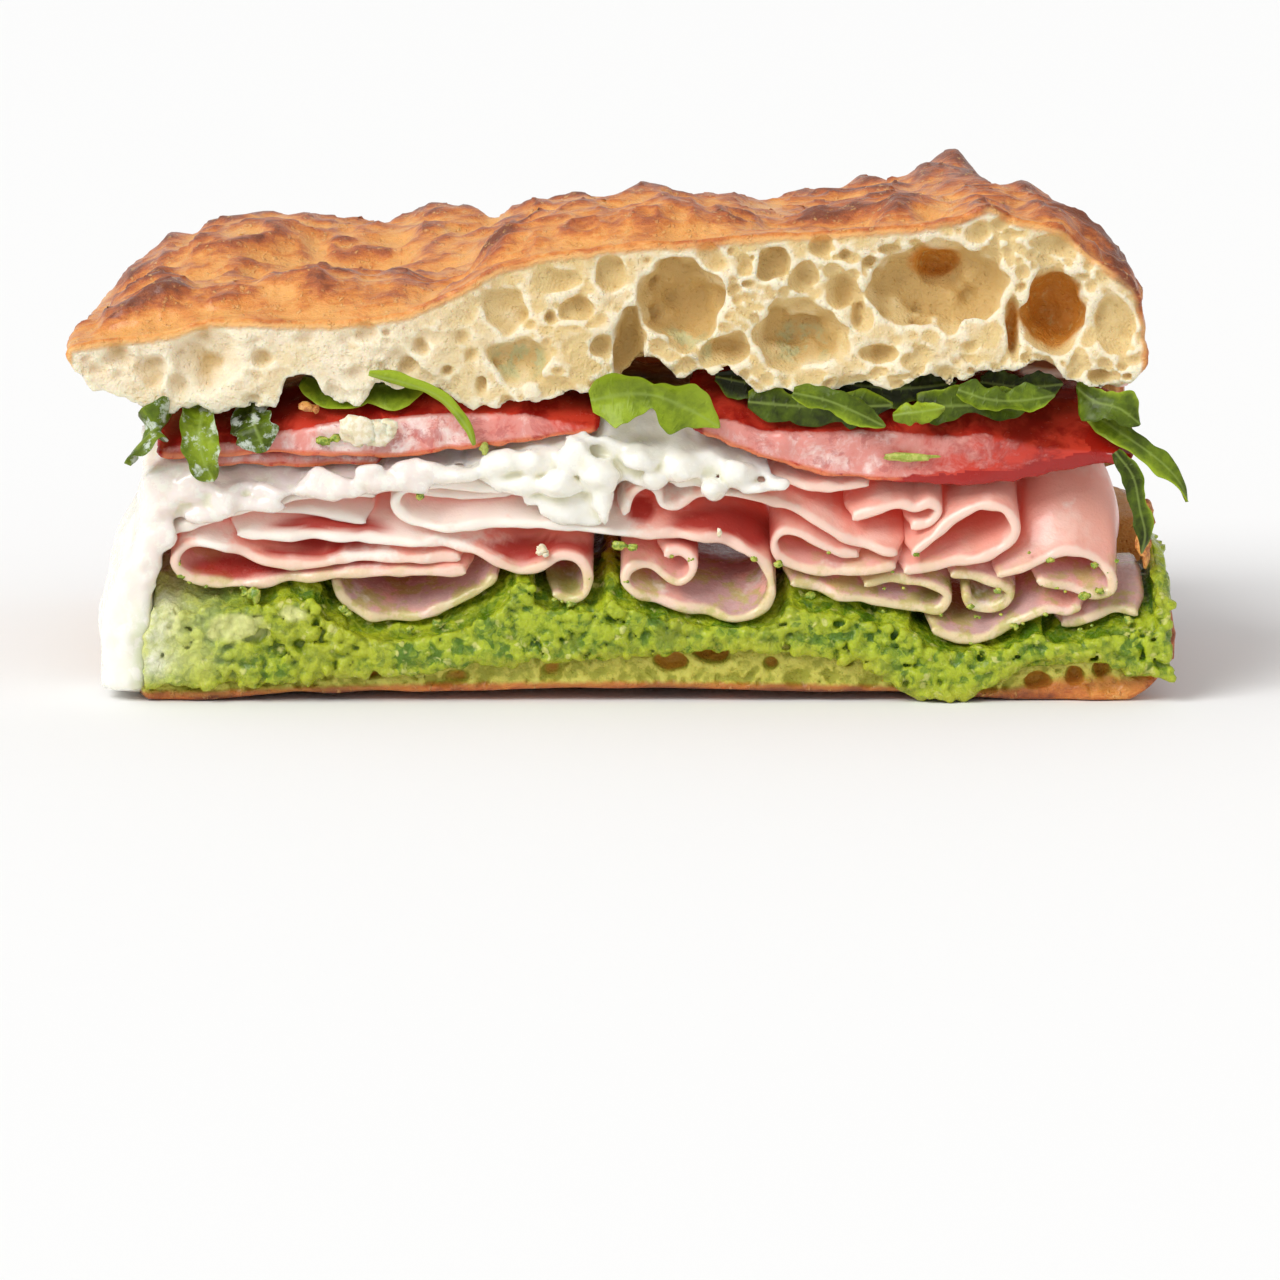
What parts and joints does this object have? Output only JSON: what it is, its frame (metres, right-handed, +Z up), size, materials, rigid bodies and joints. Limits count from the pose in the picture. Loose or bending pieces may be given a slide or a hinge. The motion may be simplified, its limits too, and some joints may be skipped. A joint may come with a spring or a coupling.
{
  "type": "mortadella sandwich",
  "caption": "Cut half of a flat-bread sandwich with folded mortadella, pesto, soft white cheese, tomato and arugula.",
  "frame": {"origin": "on the table, under the middle of the whole", "axes": "+X along the cut face to the right, +Y from the cut face to the baked back edge, +Z up"},
  "size_m": [0.1412, 0.0856, 0.0636],
  "materials": {
    "bread": "oily baked crust over pale crumb",
    "pesto": "wet, granular",
    "mortadella": "moist, slightly see-through",
    "stracciatella": "wet cream",
    "tomato": "wet flesh and glossy skin",
    "arugula": "fresh leaf, slightly waxy"
  },
  "bodies": {
    "root": {"bread_bottom": "bread", "pesto": "pesto", "mortadella_01": "mortadella", "mortadella_02": "mortadella", "mortadella_03": "mortadella", "mortadella_04": "mortadella", "mortadella_05": "mortadella", "mortadella_06": "mortadella", "mortadella_07": "mortadella", "mortadella_08": "mortadella", "mortadella_09": "mortadella", "mortadella_10": "mortadella", "mortadella_11": "mortadella", "mortadella_12": "mortadella", "mortadella_13": "mortadella", "mortadella_14": "mortadella", "mortadella_15": "mortadella", "mortadella_16": "mortadella", "mortadella_17": "mortadella", "mortadella_18": "mortadella", "stracciatella": "stracciatella", "tomato_left": "tomato", "tomato_left_lower": "tomato", "tomato_right": "tomato", "arugula_01": "arugula", "arugula_02": "arugula", "arugula_03": "arugula", "arugula_04": "arugula", "arugula_05": "arugula", "arugula_06": "arugula", "arugula_07": "arugula", "arugula_08": "arugula", "arugula_09": "arugula", "arugula_10": "arugula", "arugula_11": "arugula", "arugula_12": "arugula", "arugula_13": "arugula", "arugula_14": "arugula", "arugula_15": "arugula", "arugula_16": "arugula", "arugula_17": "arugula", "arugula_18": "arugula", "arugula_19": "arugula", "arugula_20": "arugula", "arugula_21": "arugula", "bread_top": "bread"}
  },
  "joints": []
}
